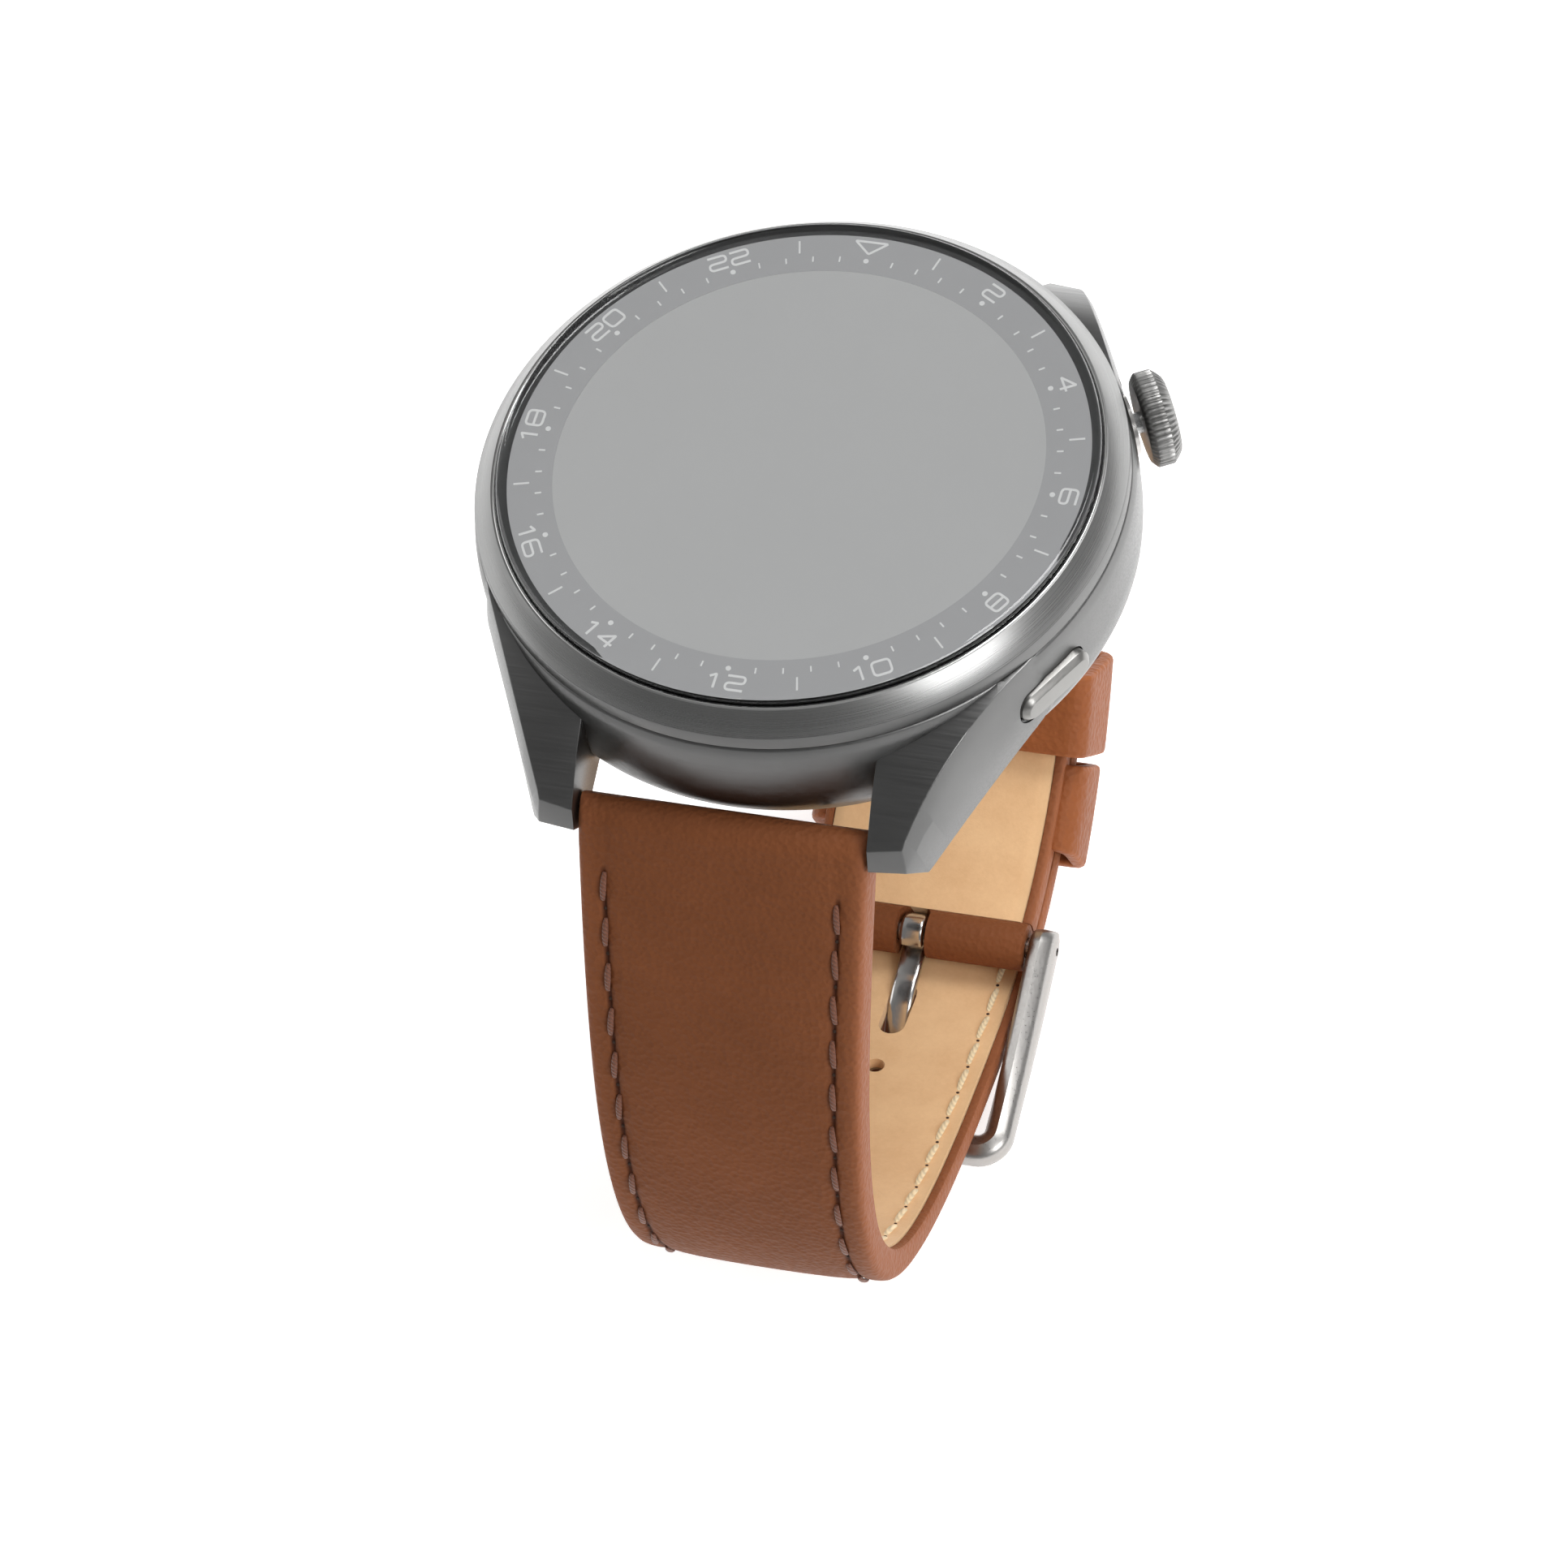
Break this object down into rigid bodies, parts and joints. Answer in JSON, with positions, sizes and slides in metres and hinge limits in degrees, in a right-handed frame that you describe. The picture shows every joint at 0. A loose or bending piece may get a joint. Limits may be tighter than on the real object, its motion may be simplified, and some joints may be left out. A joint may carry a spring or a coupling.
{
  "type": "smartwatch",
  "caption": "Round smartwatch with a turning push crown, a side button and a buckled leather strap with keepers and quick-release spring bars.",
  "frame": {"origin": "centre of the back window, where the wrist bears", "axes": "+Z out of the dial, +Y to twelve o'clock, +X to three o'clock"},
  "size_m": [0.05, 0.0714, 0.0704],
  "materials": {
    "case_metal": "satin brushed titanium grey",
    "bezel_metal": "circular brushed slope with a polished lip",
    "crystal": "clear flat crystal with a rounded rim",
    "gasket_rubber": "black sealing rubber",
    "dial_grey": "smooth mid grey print layer",
    "dial_white": "pale grey printed marks",
    "screen": "unlit grey display",
    "flex_circuit": "amber polyimide",
    "frame_plastic": "dark grey moulded plastic",
    "board": "green solder mask",
    "tin_plate": "tinned sheet steel",
    "cell_wrap": "dark wrap",
    "copper": "enamelled copper wire",
    "ferrite": "dark ferrite sheet",
    "back_plastic": "dark grey composite",
    "window_dark": "dark polished window",
    "steel_small": "plain small steel parts",
    "crown_metal": "satin knurled metal",
    "polished_steel": "polished steel",
    "leather_outer": "cognac brown fine grain leather",
    "leather_filler": "undyed filler leather",
    "leather_lining": "tan nubuck lining",
    "thread": "dark brown waxed thread"
  },
  "bodies": {
    "watch": {"case_middle": "case_metal", "bezel": "bezel_metal", "front_crystal": "crystal", "crystal_gasket": "gasket_rubber", "dial_ring": "dial_grey", "dial_marks": "dial_white", "display_panel": "screen", "display_flex": "flex_circuit", "inner_frame": "frame_plastic", "main_board": "board", "shield_cans": "tin_plate", "battery": "cell_wrap", "haptic_motor": "tin_plate", "speaker": "frame_plastic", "microphone": "tin_plate", "sensor_board": "board", "optical_sensors": "window_dark", "charging_coil": "copper", "ferrite_disc": "ferrite", "back_cover": "back_plastic", "back_window": "window_dark", "back_gasket": "gasket_rubber", "back_screws": "steel_small", "crown_tube": "polished_steel", "crown_switch": "tin_plate", "button_switch": "tin_plate", "spring_bar_front": "steel_small", "spring_bar_rear": "steel_small", "strap_long_outer": "leather_outer", "strap_long_filler": "leather_filler", "strap_long_lining": "leather_lining", "strap_long_stitching": "thread", "strap_short_outer": "leather_outer", "strap_short_filler": "leather_filler", "strap_short_lining": "leather_lining", "strap_short_stitching": "thread", "keeper_fixed": "leather_outer", "buckle_pin": "steel_small"},
    "encoder": {"encoder_wheel": "frame_plastic"},
    "crown": {"crown_knob": "crown_metal", "crown_stem": "steel_small", "crown_seals": "gasket_rubber"},
    "button": {"side_button": "crown_metal", "button_stem": "steel_small", "button_clip": "steel_small", "button_seal": "gasket_rubber"},
    "release_front": {"release_pin_front": "steel_small"},
    "release_rear": {"release_pin_rear": "steel_small"},
    "free_keeper": {"keeper_free": "leather_outer"},
    "buckle": {"buckle_frame": "polished_steel"},
    "tongue": {"buckle_tongue": "polished_steel"}
  },
  "joints": [
    {"name": "crown_turn", "type": "hinge", "parent": "watch", "child": "encoder", "pos_m": [0.01775, 0.01025, 0.0067], "axis": [0.866, 0.5, 0], "continuous": true},
    {"name": "crown_press", "type": "slide", "parent": "encoder", "child": "crown", "axis": [-0.866, -0.5, 0], "range_m": [0, 0.00045], "stiffness_N_per_m": 1500},
    {"name": "button_press", "type": "slide", "parent": "watch", "child": "button", "axis": [-0.8746, 0.4848, 0], "range_m": [0, 0.0004], "stiffness_N_per_m": 1500},
    {"name": "front_bar_release", "type": "slide", "parent": "watch", "child": "release_front", "axis": [-1, 0, 0], "range_m": [0, 0.0012], "stiffness_N_per_m": 600},
    {"name": "rear_bar_release", "type": "slide", "parent": "watch", "child": "release_rear", "axis": [-1, 0, 0], "range_m": [0, 0.0012], "stiffness_N_per_m": 600},
    {"name": "keeper_slide", "type": "hinge", "parent": "watch", "child": "free_keeper", "pos_m": [0, -0.00326, -0.01921], "axis": [1, 0, 0], "range_deg": [0, 8]},
    {"name": "buckle_play", "type": "hinge", "parent": "watch", "child": "buckle", "pos_m": [0, 0.00341, -0.05019], "axis": [1, 0, 0], "range_deg": [-0.3, 0.8]},
    {"name": "tongue_play", "type": "hinge", "parent": "watch", "child": "tongue", "pos_m": [0, 0.00341, -0.05019], "axis": [1, 0, 0], "range_deg": [-0.4, 1.5]}
  ]
}
